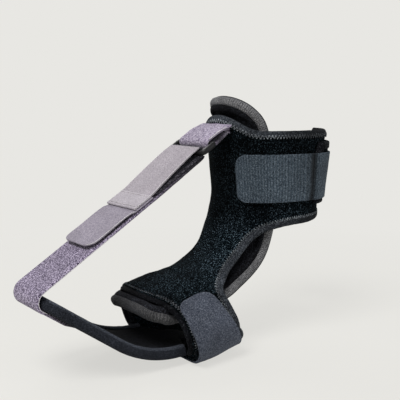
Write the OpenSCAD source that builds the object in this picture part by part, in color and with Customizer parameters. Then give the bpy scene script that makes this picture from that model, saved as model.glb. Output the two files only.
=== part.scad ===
// Dorsal ankle foot orthosis (night splint) with a toe plate and a traction strap.
// Millimetres. +X points to the toes, +Y to the medial side, +Z up the shin.
// The origin is the middle of the ankle's flexion axis.

/* [Shin and foot] */
// Height of the cover's top edge above the ankle axis
shin_h = 94; // [88:1:98]
// Reach of the cover in front of the shin's centre line, at the top
shin_front = 53.5; // [51:0.5:55]
// Half width of the cover at the shin
shin_half = 43; // [41:0.5:45]
// Half width of the cover at the foot
foot_half = 45; // [43:0.5:47]
// Depth of the cover's sole below the ankle axis
sole_depth = 70.5; // [70:0.5:71]

/* [Fabrics] */
// Thickness of the loop-faced outer cover
cover_t = 3; // [2.5:0.1:3]
// Thickness of the moulded dorsal shell
shell_t = 2.2; // [1.6:0.1:2.2]
// Thickness of the inner lining
lining_t = 1.3; // [0.8:0.1:1.3]
// Thickness of the removable liner pad, with its terry lining
liner_t = 7; // [5:0.5:7]
// Thickness of every strap
strap_t = 1.8; // [1.2:0.1:1.8]
// Width of the traction strap
strap_w = 38; // [32:1:40]

/* [Toe plate] */
// Thickness of the padded plate
plate_t = 7.6; // [7.4:0.1:8]
// Half width of the plate at the toes
plate_half = 35; // [30:1:37]
// Half width of the plate at its tip
tip_half = 26; // [23:1:27]
// Radius of the plate's upward bend
bend_r = 84; // [80:1:86]
// Slope of the plate in front of the bend
plate_slope = 35; // [34:1:36]

/* [Strap ring] */
// Distance between the ring's two bars
bar_gap = 11.2; // [10.4:0.2:12]
// Radius of the bars
bar_r = 2; // [1.8:0.1:2]

/* [Hidden] */
$fn = 48;

slack = 0.2;                 // clearance between neighbouring layers
wide_slack = 0.4;            // where the layers' facets don't line up
lining_out = -cover_t - wide_slack;               // lining's outer face on the wings
pocket_depth = shell_t + slack;
pocket_out = lining_out - pocket_depth;           // and behind the dorsal shell
liner_out = pocket_out - lining_t - 2 * wide_slack;
terry_t = 3.5;               // terry lining of the liner pad
overlap_in = wide_slack;     // inner face of a wing that laps over the cover
overlap_out = overlap_in + cover_t;

// ---------------------------------------------------------------- helpers
function lerp(a, b, t) = a + (b - a) * t;
function clamp01(x) = max(0, min(1, x));
function smooth(x) = let (c = clamp01(x)) c * c * (3 - 2 * c);
function spow(x, p) = sign(x) * pow(abs(x), p);
function unit(v) = v / norm(v);
function spline(p0, p1, p2, p3, t) =
  0.5 * (2 * p1 + (p2 - p0) * t + (2 * p0 - 5 * p1 + 4 * p2 - p3) * t * t
         + (3 * p1 - p0 - 3 * p2 + p3) * t * t * t);
function along(list, s) =
  let (n = len(list) - 1, i = min(floor(max(s, 0)), n - 1))
  spline(list[max(i - 1, 0)], list[i], list[i + 1], list[min(i + 2, n)], min(s, n) - i);
function smooth_line(list, steps) =
  [for (i = [0 : (len(list) - 1) * steps]) along(list, i / steps)];
function arc(c, r, from, to, steps) =
  [for (i = [0 : steps]) let (a = lerp(from, to, i / steps)) c + r * [cos(a), sin(a)]];

// ------------------------------------------------- the leg and foot surface
// One row per station down the shin and along the foot: centre x and z, tilt of the dorsal
// direction from +X towards +Z, dorsal reach, back or plantar reach, half width, and
// squareness of the back half.
shin_x = -8;
stations = [
  [shin_x, shin_h + 24, 0, shin_front + 3, 43, shin_half + 1.5, 2.2],
  [shin_x, shin_h, 0, shin_front, 41, shin_half, 2.2],
  [shin_x, 60, 0, shin_front - 4, 35, shin_half - 1.5, 2.2],
  [-7, 34, 0, shin_front - 6, 32.5, shin_half - 2.5, 2.2],
  [10, -10, 20, 42, 50, shin_half - 2, 2.4],
  [37.5, -34, 40, 38, 44, foot_half - 3, 2.8],
  [66, -42, 58, 33, (sole_depth - 46) / sin(58), foot_half - 2, 2.8],
  [85.4, -45, 72, 31, (sole_depth - 45) / sin(72), foot_half - 1, 3.1],
  [103, -50, 72, 31, (sole_depth - 50) / sin(72), foot_half + 1, 3.1],
  [119, -57, 72, 29, (sole_depth - 56) / sin(72), foot_half + 1, 3.1]
];
front_squareness = 2.3;

// A point of the surface. u turns from the dorsal line (0) towards the medial side (+90);
// t is the distance outside the cover's outer face.
function skin(s, u, t) =
  let (q = along(stations, s), front = cos(u) >= 0,
       e = 2 / (front ? front_squareness : q[6]),
       c = spow(cos(u), e) * ((front ? q[3] : q[4]) + t))
  [q[0] + c * cos(q[2]), spow(sin(u), e) * (q[5] + t), q[1] + c * sin(q[2])];

// The top edge dips beside the shin, and the front edge runs back beside the toes.
rim_dip = 0.36;
toe_cut = 0.37;
function edge_s(s, u) =
  s + rim_dip * smooth(abs(u) / 46) * clamp01((2.2 - s) / 1.2)
  - toe_cut * smooth(abs(u) / 62) * clamp01((s - 6.3) / 2.0);

// A closed sheet on the surface. Each row is [s, first u, last u]; top and bottom give the
// distance of its two faces outside the cover's outer face, as functions of s and u.
module sheet(rows, cols, top, bottom, follow_edges = true) {
  last = len(rows) - 1;
  per_side = len(rows) * (cols + 1);
  points = [for (face = [top, bottom]) for (r = rows) for (j = [0 : cols])
            let (u = lerp(r[1], r[2], j / cols), s = follow_edges ? edge_s(r[0], u) : r[0])
            skin(s, u, face(s, u))];
  function at(side, i, j) = side * per_side + i * (cols + 1) + j;
  quads = concat(
    [for (i = [0 : last - 1]) for (j = [0 : cols - 1])
      [at(0, i, j), at(0, i, j + 1), at(0, i + 1, j + 1), at(0, i + 1, j)]],
    [for (i = [0 : last - 1]) for (j = [0 : cols - 1])
      [at(1, i, j), at(1, i + 1, j), at(1, i + 1, j + 1), at(1, i, j + 1)]],
    [for (i = [0 : last - 1]) [at(0, i, 0), at(0, i + 1, 0), at(1, i + 1, 0), at(1, i, 0)]],
    [for (i = [0 : last - 1])
      [at(0, i + 1, cols), at(0, i, cols), at(1, i, cols), at(1, i + 1, cols)]],
    [for (j = [0 : cols - 1]) [at(0, 0, j + 1), at(0, 0, j), at(1, 0, j), at(1, 0, j + 1)]],
    [for (j = [0 : cols - 1])
      [at(0, last, j), at(0, last, j + 1), at(1, last, j + 1), at(1, last, j)]]);
  polyhedron(points = points,
             faces = [for (q = quads) for (t = [[q[0], q[1], q[2]], [q[0], q[2], q[3]]]) t]);
}

// A rounded tape along a path of [s, u, t] points, just beside it: side 1 or -1 says on which
// side of the path it lies. w is its width and h its thickness.
tape_w = 5;
tape_h = 4.4;
tape_gap = 0.3;
module edge_tape(path, side, w = tape_w, h = tape_h) {
  sides = 6;
  last = len(path) - 1;
  p = [for (a = path) skin(a[0], a[1], a[2])];
  ring = [for (k = [0 : last])
    let (d = unit(p[min(k + 1, last)] - p[max(k - 1, 0)]),
         n = unit(skin(path[k][0], path[k][1], path[k][2] + 1) - p[k]),
         m = side * unit(cross(d, n)))
    [for (i = [0 : sides - 1]) let (a = 360 * (i + 0.5) / sides)
      p[k] + m * (tape_gap + w / 2 + w / 2 * cos(a) / cos(30)) + n * h / 2 * sin(a)]];
  function at(k, i) = k * sides + (side > 0 ? i % sides : sides - 1 - (i % sides));
  polyhedron(
    points = [for (r = ring) for (q = r) q],
    faces = concat(
      [for (k = [0 : last - 1]) for (i = [0 : sides - 1])
        for (t = [[at(k, i), at(k, i + 1), at(k + 1, i + 1)],
                  [at(k, i), at(k + 1, i + 1), at(k + 1, i)]]) t],
      [[for (i = [sides - 1 : -1 : 0]) at(0, i)], [for (i = [0 : sides - 1]) at(last, i)]]));
}

// ------------------------------------------------------------- wrap outline
// The medial edge of the cover follows the last column, and the lateral edge the first. The
// shin band ends at the calf wing's hinge on the lateral side; the foot band runs on under
// the sole and laps over the medial side.
wing_u = -112;               // where the calf wing hinges
medial_u = 168;              // end of the shin band behind the leg
sole_lap = -260;             // end of the foot band, up the medial side
foot_u = 124;                // end of the medial foot wing
cover_cols = 32;             // 12 degrees each round the foot, so that the lap's facets meet
front_s = 8.28;
outline = [
  [0.95, wing_u, medial_u], [1.25, wing_u, medial_u], [1.6, wing_u, medial_u],
  [2.0, wing_u, medial_u], [2.4, wing_u, medial_u], [2.8, wing_u, medial_u],
  [3.12, wing_u, medial_u], [3.18, -111, 156], [3.21, -108, 134], [3.24, -104, 110],
  [3.27, -95, 92], [3.31, -79, 77], [3.37, -64, 64], [3.45, -53, 53], [3.56, -45, 45],
  [3.74, -37.5, 37.5], [4.04, -32.5, 32.5], [4.4, -31.5, 31.5], [4.8, -34, 34],
  [5.15, -39, 39], [5.45, -46, 45], [5.65, -56, 52], [5.76, -70, 59], [5.83, -87, 66],
  [5.87, -105, 74], [5.90, -125, 82], [5.92, -147, 90], [5.94, -170, 98], [5.96, -194, 106],
  [5.98, -218, 113], [6.0, -240, 119], [6.06, -254, 124], [6.25, sole_lap, foot_u],
  [6.65, sole_lap, foot_u], [7.05, sole_lap, foot_u], [7.45, sole_lap, foot_u],
  [7.85, sole_lap, foot_u], [front_s, sole_lap, foot_u]
];

// The foot band climbs on to the outside where it laps over the medial wing.
function lap(u) = (cover_t + wide_slack) * smooth((-196 - u) / 30);
module outer_cover()
  color("#17181c")
    sheet(outline, cover_cols, function (s, u) lap(u), function (s, u) lap(u) - cover_t);

// The lining dips inwards behind the dorsal shell, which makes the shell's pocket.
function pocket(u) = pocket_depth * smooth((66 - abs(u)) / 16);
lining_inset = [for (r = outline) let (foot = r[0] > 5.7)
                [r[0], max(r[1] + 2.5, foot ? -100 : -186), min(r[2] - 2.5, foot ? 100 : 180)]];
module inner_lining()
  color("#2b2c31")
    sheet(lining_inset, 22, function (s, u) lining_out - pocket(u),
          function (s, u) lining_out - pocket(u) - lining_t);

// The shell narrows at the ankle, inside the cover's edges.
shell_rows = [for (r = outline) if (r[0] > 1.2 && r[0] < 8.0)
              let (w = min(40, r[2] - 6)) [r[0], -w, w]];
module dorsal_shell()
  color("#101114")
    sheet(shell_rows, 8, function (s, u) -cover_t - slack,
          function (s, u) -cover_t - slack - shell_t);

// ---------------------------------------------------------------- liner pad
// A padded tongue that stands out above the shin, in front of the instep and in the heel
// opening. Its terry lining is the inner face, and a knitted edge runs all round it. The
// outline runs from the middle of its top to the middle of its front.
liner_half = [
  [0.54, 0], [0.57, 11], [0.68, 23], [0.86, 33], [1.1, 41], [1.6, 47], [2.2, 50], [2.8, 53],
  [3.4, 56], [3.9, 56], [4.4, 53], [4.9, 51], [5.4, 52], [6.0, 54], [6.7, 54], [7.3, 53],
  [7.75, 51], [8.1, 46], [8.38, 37], [8.52, 24], [8.57, 0]
];
liner_last = len(liner_half) - 1;
liner_rows = [for (i = [1 : liner_last - 1]) let (u = liner_half[i][1]) [liner_half[i][0], -u, u]];
// It flares out above the shin band and in front of the instep.
function liner_face(s) = liner_out + 6.5 * smooth((0.95 - s) / 0.6) + 3.2 * smooth((s - 8.2) / 0.4);
module liner_pad()
  color("#1b1c20")
    sheet(liner_rows, 14, function (s, u) liner_face(s),
          function (s, u) liner_face(s) - liner_t + terry_t + slack / 2, false);

module liner_lining()
  color("#8a8c92")
    sheet(liner_rows, 14, function (s, u) liner_face(s) - liner_t + terry_t,
          function (s, u) liner_face(s) - liner_t, false);

liner_edge_w = 6.5;
module liner_edge() {
  half = smooth_line(liner_half, 2);
  n = len(half) - 1;
  whole = concat([for (i = [round(n / 2) : n]) [half[i][0], -half[i][1]]],
                 [for (i = [n - 1 : -1 : 0]) half[i]],
                 [for (i = [1 : round(n / 2) - 1]) [half[i][0], -half[i][1]]]);
  color("#6f7177")
    edge_tape([for (p = whole) [p[0], p[1], liner_face(p[0]) - liner_t / 2]], 1,
              liner_edge_w, liner_t + 0.6);
}

// ----------------------------------------------------------------- bindings
edge_t = -cover_t / 2;       // the tapes lie round the cover's mid thickness
module top_binding()
  color("#3a3e46")
    edge_tape([for (i = [0 : cover_cols]) let (u = lerp(wing_u, medial_u, i / cover_cols))
               [edge_s(outline[0][0], u), u, edge_t]], -1);

// A tape down one side of the heel opening; column 1 is the lateral edge and 2 the medial.
module heel_binding(first, last, column, side)
  color("#3a3e46")
    edge_tape([for (i = [first : last]) let (r = outline[i])
               [edge_s(r[0], r[column]), r[column], edge_t]], side);
module heel_binding_medial() heel_binding(6, 30, 2, -1);
// The lateral tape ends where the foot band turns under the sole.
module heel_binding_lateral() heel_binding(6, 26, 1, 1);

instep_cols = 25;
module instep_binding()
  color("#3a3e46")
    edge_tape([for (i = [0 : instep_cols]) let (u = foot_u - 12 * (instep_cols - i))
               [edge_s(front_s, u), u, edge_t]], 1);

// ---------------------------------------------------------- calf wing, strap
wing_top = 1.15;
wing_foot = 3.0;
wing_end = -257;
wing_root = wing_u - 1;      // the gap at the wing's hinge
function wing_lift(u) = (cover_t + wide_slack) * smooth((-146 - u) / 34);
// The wing tapers to a rounded end, a little taller than its strap.
wing_rows = [for (i = [0 : 7]) let (v = i / 7)
             [lerp(wing_top, wing_foot, v), wing_end + 5 * pow(2 * v - 1, 4), wing_root]];
module calf_wing()
  color("#17181c")
    sheet(wing_rows, 16, function (s, u) wing_lift(u), function (s, u) wing_lift(u) - cover_t);

module calf_wing_lining()
  color("#2b2c31")
    sheet([for (r = wing_rows) [r[0], -178, r[2] - 4]], 10,
          function (s, u) wing_lift(u) - cover_t - wide_slack,
          function (s, u) wing_lift(u) - cover_t - wide_slack - lining_t);

module calf_wing_binding()
  color("#3a3e46")
    edge_tape([for (r = wing_rows) [edge_s(r[0], r[1]), r[1], overlap_out - cover_t / 2]], 1, 4, 2.8);

strap_s = [1.65, 2.93];      // the calf strap's edges
function rows_between(edges) = [for (i = [0 : 4]) lerp(edges[0], edges[1], i / 4)];
crease_u = 94 - 360;         // where the strap steps down from the wing on to the cover
crease_gap = 0.6;            // on each side of a crease
module calf_strap()
  color("#4b525c")
    sheet([for (s = rows_between(strap_s)) [s, crease_u + crease_gap, -122]], 16,
          function (s, u) wing_lift(u) + slack + strap_t, function (s, u) wing_lift(u) + slack, false);

// Rows of a tab whose free end, at u0, has rounded corners.
function tab_rows(edges, u0, u1, corner) =
  [for (i = [0 : 10]) let (v = i / 10, w = max(0, (abs(2 * v - 1) - 0.55) / 0.45))
    [lerp(edges[0], edges[1], v), u0 + corner * (1 - sqrt(max(0, 1 - w * w))), u1]];
function inset(edges, by) = [edges[0] + by, edges[1] - by];

tab_u = 19.5 - 360;          // the calf tab's free end
tab_lift = 1.2;              // the tab lies on its hook patch
patch_t = 0.8;
function step_down(u, crease, length) =
  tab_lift + (overlap_out + slack - tab_lift) * smooth((u - crease + length) / length);
module calf_tab()
  color("#4b525c")
    sheet(tab_rows(strap_s, tab_u, crease_u - crease_gap, 10), 18,
          function (s, u) step_down(u, crease_u, 10) + strap_t,
          function (s, u) step_down(u, crease_u, 10), false);

module calf_hook_patch()
  color("#202226")
    sheet(tab_rows(inset(strap_s, 0.06), tab_u + 3, tab_u + 42, 9), 8,
          function (s, u) slack + patch_t, function (s, u) slack, false);

// --------------------------------------------------------------- foot strap
foot_s = [6.02, 7.88];
foot_crease = 94 - 360;
foot_strap_end = -56;
floor_z = -sole_depth - slack - strap_t + 0.6;       // the underside is pressed flat here
module foot_strap()
  color("#4b525c")
    difference() {
      sheet([for (s = rows_between(foot_s)) [s, foot_crease + crease_gap, foot_strap_end]], 35,
            function (s, u) lap(u) + slack + strap_t, function (s, u) lap(u) + slack, false);
      translate([0, -60, floor_z - 20]) cube([150, 120, 20]);
    }

foot_tab_u = 48 - 360;
module foot_tab()
  color("#4b525c")
    sheet(tab_rows(foot_s, foot_tab_u, foot_crease - crease_gap, 9), 14,
          function (s, u) step_down(u, foot_crease, 14) + strap_t,
          function (s, u) step_down(u, foot_crease, 14), false);

module foot_hook_patch()
  color("#202226")
    sheet(tab_rows(inset(foot_s, 0.1), foot_tab_u + 4, foot_tab_u + 30, 8), 6,
          function (s, u) slack + patch_t, function (s, u) slack, false);

// ---------------------------------------------------------------- toe plate
// A side line of the plate: l runs along its underside from the start of the bend, and h is
// the height above the underside.
plate_z = -sole_depth + cover_t + 0.9;   // underside of the flat rear part
bend_x = 104;                // start of the bend
bend_l = bend_r * plate_slope * PI / 180;
tip_l = bend_l + 60;       // end of the plate
hinge_l = 5;                 // the fabric hinge under the ball of the foot
rear_l = -29;
function plate(l, h) =
  let (a = max(0, min(plate_slope, l / bend_r * 180 / PI)),
       d = l <= 0 ? l : max(0, l - bend_l))
    [bend_x, plate_z] + [(bend_r - h) * sin(a), bend_r - (bend_r - h) * cos(a)]
    + d * [cos(a), sin(a)];

// A layer of the plate between two heights, extruded across the foot.
module plate_layer(l0, l1, h0, h1, steps = 24)
  rotate([90, 0, 0]) linear_extrude(height = 120, center = true)
    polygon(concat([for (i = [0 : steps]) plate(lerp(l0, l1, i / steps), h0)],
                   [for (i = [steps : -1 : 0]) plate(lerp(l0, l1, i / steps), h1)]));

// The plate's outline seen from above, inset by e. Behind the toes it narrows, to pass under
// the ball of the foot inside the wrap.
tip_x = plate(tip_l, 0)[0];
rear_half = 18;
module plan(e) {
  corner = 14 - e;
  w = plate_half - e;
  t = tip_half - e;
  r = rear_half - e;
  union() {
    polygon([[bend_x + rear_l + 10, -r], [bend_x - 2, -r], [bend_x + 5, -w], [tip_x - 50, -w],
             [tip_x - 14, -t], [tip_x - 14, t], [tip_x - 50, w], [bend_x + 5, w],
             [bend_x - 2, r], [bend_x + rear_l + 10, r]]);
    translate([tip_x - 15, -t + corner]) square([15 - e, 2 * (t - corner)]);
    for (y = [-1, 1]) translate([tip_x - e - corner, y * (t - corner)]) circle(corner);
    translate([bend_x + rear_l + e, 10 - e - r]) square([12, 2 * (r - 10 + e)]);
    for (y = [-1, 1]) translate([bend_x + rear_l + 10, y * (r - 10 + e)]) circle(10 - e);
  }
}
module plan_prism(e) translate([0, 0, -120]) linear_extrude(height = 200) plan(e);

board_t = 1.6;
base_t = 1.4;
rim_w = 5;
toe_gap = 0.8;               // on each side of the fabric hinge, at the underside

// Keeps what lies in front of (side = 1) or behind (side = -1) the hinge, with a notch that
// lets the plate swing up.
module hinge_side(side) {
  p = plate(hinge_l, 0);
  a = hinge_l / bend_r * 180 / PI;
  notch = 8.5;
  translate([p[0], 0, p[1]]) rotate([0, -a + side * notch, 0])
    translate([side > 0 ? toe_gap / 2 : -toe_gap / 2 - 200, -100, -60]) cube([200, 200, 160]);
}

// The plate's end is round, for the strap that turns over it.
fold_h = 6.4;                // height of the strap's fold above the plate's underside
fold_c = plate(tip_l - 6, fold_h);
module tip_round()
  translate([fold_c[0], 0, fold_c[1]]) {
    rotate([90, 0, 0]) cylinder(r = fold_h, h = 120, center = true);
    rotate([0, -plate_slope, 0]) translate([-200, -60, -60]) cube([200, 120, 120]);
  }

module padding(e, l0, l1, h0, h1, side)
  intersection() {
    plate_layer(l0, l1, h0, h1);
    plan_prism(e);
    hinge_side(side);
    tip_round();
  }

board_h = base_t + 0.1;      // heights of the board's and the pad's undersides
pad_h = board_h + board_t + 0.1;
board_inset = 7;
base_inset = 0.6;
sole_end = hinge_l + 4;      // cut at the hinge
toe_start = hinge_l - 4;
module sole_base() color("#2b2c31") padding(base_inset, rear_l, sole_end, 0, base_t, -1);
module sole_board()
  color("#c9ccd0") padding(board_inset, rear_l, sole_end, board_h, board_h + board_t, -1);
module sole_pad() color("#1b1c20") padding(base_inset, rear_l, sole_end, pad_h, plate_t - 0.4, -1);

module toe_base() color("#2b2c31") padding(base_inset, toe_start, tip_l, 0, base_t, 1);
module toe_board()
  color("#c9ccd0") padding(board_inset, toe_start, tip_l, board_h, board_h + board_t, 1);
module toe_pad() color("#1b1c20") padding(rim_w + 0.2, toe_start, tip_l, pad_h, plate_t - 1.6, 1);
module toe_binding()
  color("#3a3e46")
    intersection() {
      plate_layer(toe_start, tip_l, board_h, plate_t);
      difference() {
        plan_prism(0);
        plan_prism(rim_w);
      }
      hinge_side(1);
      tip_round();
    }

// ----------------------------------------------------------- traction strap
// The strap frame: its origin is the ring's lower bar, +X runs down the strap to the toes and
// +Z points out of the strap.
loop_w = strap_w - 3;        // the strap gathers a little at the ring
anchor_p = [skin(1.0, 0, 0)[0], shin_h - 0.5];
anchor_l = 34;               // from the sewn edge to the ring's lower bar
inner_r = fold_h + 0.1 + strap_t / 2;      // the sewn end's turn round the tip
outer_r = inner_r + strap_t + 0.1;         // the run's turn over it
turn_r = bar_r + 0.2 + strap_t / 2;
run_z = -turn_r - strap_t - 0.2;
bar_dir = unit(fold_c + [6, 5] - anchor_p);
bar_p = anchor_p + anchor_l * bar_dir;
reach = norm(fold_c - bar_p);
run_angle = atan2(bar_p[1] - fold_c[1], fold_c[0] - bar_p[0]) - asin((outer_r - run_z) / reach);
run_l = sqrt(pow(reach, 2) - pow(outer_r - run_z, 2));
module at_ring() translate([bar_p[0], 0, bar_p[1]]) rotate([0, run_angle, 0]) children();

// A strap of constant thickness whose side line is a list of [x, z] points.
module ribbon(line, t = strap_t, w = strap_w) {
  last = len(line) - 1;
  n = [for (i = [0 : last]) let (d = unit(line[min(i + 1, last)] - line[max(i - 1, 0)])) [-d[1], d[0]]];
  rotate([90, 0, 0]) linear_extrude(height = w, center = true)
    polygon(concat([for (i = [0 : last]) line[i] + n[i] * t / 2],
                   [for (i = [last : -1 : 0]) line[i] - n[i] * t / 2]));
}

lavender = "#8d86a3";
// The sewn end under the plate and round its tip.
module strap_toe_end() {
  a0 = -90 + plate_slope;
  color(lavender) {
    ribbon(concat([for (i = [0 : 12]) plate(lerp(tip_l - 45, tip_l - 8, i / 12), -strap_t / 2 - 0.1)],
                  arc(fold_c, inner_r, a0 + 8, 90 - run_angle - 22, 12)));
  }
}

run_start = 20;              // the run's hidden end, under the fold
module strap_run()
  color(lavender) at_ring()
    ribbon(concat([[run_start, run_z], [60, run_z], [100, run_z]],
                  arc([run_l, run_z - outer_r], outer_r, 90, 60, 5)));

// The fold round the lower bar, with a short lower layer that the run slides under.
fold_l = 46;
module strap_fold()
  color("#9c96ae") at_ring()
    ribbon(concat([[fold_l, -turn_r], [20, -turn_r]], arc([0, 0], turn_r, 270, 90, 16),
                  [[3.5, turn_r]]), w = loop_w);

// The strap widens from the ring to its full width.
module gathered(l)
  intersection() {
    children();
    translate([0, 0, -20]) linear_extrude(height = 40)
      polygon([[0, -loop_w / 2], [l, -strap_w / 2], [150, -strap_w / 2],
               [150, strap_w / 2], [l, strap_w / 2], [0, loop_w / 2]]);
  }

return_l = 66;               // end of the plain part, over the hook tab's sewn end
tab_z = run_z + strap_t / 2 + 0.1 + 0.75;
return_line = smooth_line([[4.2, turn_r], [12, turn_r - 0.4], [26, 1.4], [40, -0.3],
                           [50, tab_z + 1.85], [return_l, tab_z + 1.75]], 5);
module strap_return() color("#a9a3b4") at_ring() gathered(60) ribbon(return_line);

tab_line = smooth_line([[49, tab_z], [66.5, tab_z], [78, tab_z + 0.65], [94, tab_z + 0.7],
                        [102, tab_z + 0.9], [108, tab_z + 1.9]], 5);
module tab_plan(l0, l1, e) {
  r = 11 - e;
  w = strap_w / 2 - e;
  union() {
    translate([l0, -w]) square([l1 - r - l0, 2 * w]);
    translate([l0, r - w]) square([l1 - l0, 2 * (w - r)]);
    for (y = [-1, 1]) translate([l1 - r, y * (w - r)]) circle(r);
  }
}
// The hook tab's sewn end, under the return strap.
module tab_root()
  color("#9690a2") at_ring() ribbon([[50, tab_z], [return_l - 0.4, tab_z]], 1.5);
module hook_tab()
  color("#9690a2") at_ring()
    intersection() {
      ribbon(tab_line, 1.5);
      translate([0, 0, -20]) linear_extrude(height = 40) tab_plan(return_l + 0.4, 107.6, 0);
    }
module hook_tab_patch()
  color("#55525e") at_ring()
    intersection() {
      ribbon([for (p = tab_line) if (p[0] > 78) p - [0, 1.06]], 0.5);
      translate([0, 0, -20]) linear_extrude(height = 40) tab_plan(72, 105.5, 2);
    }

// The short loop that ties the ring to the cover. Its two ends meet at the sewn edge.
module anchor_loop()
  color(lavender) at_ring()
    ribbon(concat([[2.6 - anchor_l, 1.6], [8 - anchor_l, 2.3]],
                  arc([-bar_gap, 0], turn_r, 90, -90, 12),
                  [[11 - anchor_l, -2.2], [6 - anchor_l, -1.7]]), w = loop_w);

module anchor_patch()
  color(lavender)
    sheet([[1.03, -13, 13], [1.1, -13, 13], [1.17, -13, 13]], 6,
          function (s, u) slack + 0.8, function (s, u) slack);

module ring() {
  side_y = loop_w / 2 + 3.6;
  color("#0d0e10") at_ring() {
    for (x = [0, -bar_gap]) translate([x, 0, 0]) rotate([90, 0, 0])
      cylinder(r = bar_r, h = 2 * side_y, center = true);
    for (y = [-side_y, side_y]) translate([-bar_gap / 2, y, 0])
      cube([bar_gap + 2 * bar_r, 4.4, 2 * bar_r], center = true);
  }
}

outer_cover();
inner_lining();
dorsal_shell();
liner_pad();
liner_lining();
liner_edge();
top_binding();
heel_binding_medial();
heel_binding_lateral();
instep_binding();
anchor_patch();
foot_strap();
sole_board();
sole_pad();
sole_base();
toe_board();
toe_pad();
toe_base();
toe_binding();
strap_toe_end();
strap_run();
anchor_loop();
ring();
strap_fold();
strap_return();
tab_root();
hook_tab();
hook_tab_patch();
calf_wing();
calf_wing_lining();
calf_wing_binding();
calf_strap();
calf_tab();
calf_hook_patch();
foot_tab();
foot_hook_patch();
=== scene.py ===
"""Looks of the ankle foot orthosis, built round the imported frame.

Lengths are in millimetres and become metres when a mesh is made. The wrap's pieces lie on the leg
and foot surface, where s counts stations from the shin's top to the toes, u is the turn in degrees
from the dorsal line towards the medial side, and t is the distance out of the surface."""
import math

import bpy
import numpy as np
from mathutils import Matrix, Vector


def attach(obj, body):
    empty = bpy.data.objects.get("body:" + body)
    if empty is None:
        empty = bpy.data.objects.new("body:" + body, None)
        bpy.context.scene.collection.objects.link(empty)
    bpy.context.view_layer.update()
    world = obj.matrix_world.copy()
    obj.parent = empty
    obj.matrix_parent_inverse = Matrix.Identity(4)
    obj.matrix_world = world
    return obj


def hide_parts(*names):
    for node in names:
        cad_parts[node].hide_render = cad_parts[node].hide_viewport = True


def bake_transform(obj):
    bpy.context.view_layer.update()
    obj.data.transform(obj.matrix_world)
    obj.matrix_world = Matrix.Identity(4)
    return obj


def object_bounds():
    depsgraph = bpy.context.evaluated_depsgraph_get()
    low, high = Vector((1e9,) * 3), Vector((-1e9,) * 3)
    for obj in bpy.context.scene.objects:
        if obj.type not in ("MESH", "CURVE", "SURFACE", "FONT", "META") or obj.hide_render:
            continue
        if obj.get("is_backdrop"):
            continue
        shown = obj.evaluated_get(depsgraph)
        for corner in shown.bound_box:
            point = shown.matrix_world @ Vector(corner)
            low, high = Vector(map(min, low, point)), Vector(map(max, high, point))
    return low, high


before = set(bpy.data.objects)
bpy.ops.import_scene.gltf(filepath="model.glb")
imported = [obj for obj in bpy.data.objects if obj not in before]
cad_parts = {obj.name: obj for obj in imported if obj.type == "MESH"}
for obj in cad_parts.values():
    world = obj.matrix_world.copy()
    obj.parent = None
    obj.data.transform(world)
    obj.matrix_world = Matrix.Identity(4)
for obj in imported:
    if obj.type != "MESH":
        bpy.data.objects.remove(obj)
cad_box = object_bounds()
scene = bpy.context.scene
rng = np.random.default_rng(7)
MM = 0.001

# ---- the design's own dimensions
SHIN_H, SHIN_FRONT, SHIN_HALF = 94, 53.5, 43
FOOT_HALF, SOLE = 45, 70.5
COVER_T, SHELL_T, LINING_T, LINER_T, STRAP_T, STRAP_W = 3, 2.2, 1.3, 7, 1.8, 38
PLATE_HALF, TIP_HALF, BEND_R, PLATE_SLOPE = 35, 26, 84, 35
BAR_GAP, BAR_R = 11.2, 2
SLACK, WIDE_SLACK = 0.2, 0.4
CLOTH_R = 43                # turns degrees round the leg into millimetres of cloth
CREASE_U = 94 - 360         # where both grey tabs bend up
SIDES = (-1, "lateral"), (1, "medial")
LINING_OUT = -COVER_T - WIDE_SLACK
POCKET = SHELL_T + SLACK
LINER_OUT = LINING_OUT - POCKET - LINING_T - 2 * WIDE_SLACK
OVER = WIDE_SLACK + COVER_T


def smooth(x):
    c = np.clip(x, 0, 1)
    return c * c * (3 - 2 * c)


def unit(v):
    return v / np.maximum(np.linalg.norm(v, axis=-1, keepdims=True), 1e-9)


def stack(*parts):
    return np.stack(parts, -1)


def reached(line):
    """Distance of each point along a line from its start."""
    return np.concatenate([[0], np.cumsum(np.linalg.norm(np.diff(line, axis=0), axis=1))])


def sample(at, reach, table):
    """A table's rows at distances along the line it belongs to."""
    return stack(*(np.interp(at, reach, column) for column in table.T))


# ---- the leg and foot surface
def depth(z, tilt):
    """Plantar reach of a station, so that the sole lies at its depth."""
    return (SOLE + z) / math.sin(math.radians(tilt))


DORSAL_SQUARE = 2.3
# x, z, tilt in degrees, dorsal reach, plantar reach, half width, squareness of the plantar side
STATIONS = np.array([
    [-8, SHIN_H + 24, 0, SHIN_FRONT + 3, 43, SHIN_HALF + 1.5, 2.2],
    [-8, SHIN_H, 0, SHIN_FRONT, 41, SHIN_HALF, 2.2],
    [-8, 60, 0, SHIN_FRONT - 4, 35, SHIN_HALF - 1.5, 2.2],
    [-7, 34, 0, SHIN_FRONT - 6, 32.5, SHIN_HALF - 2.5, 2.2],
    [10, -10, 20, 42, 50, SHIN_HALF - 2, 2.4],
    [37.5, -34, 40, 38, 44, FOOT_HALF - 3, 2.8],
    [66, -42, 58, 33, depth(-46, 58), FOOT_HALF - 2, 2.8],
    [85.4, -45, 72, 31, depth(-45, 72), FOOT_HALF - 1, 3.1],
    [103, -50, 72, 31, depth(-50, 72), FOOT_HALF + 1, 3.1],
    [119, -57, 72, 29, depth(-56, 72), FOOT_HALF + 1, 3.1],
])


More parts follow.
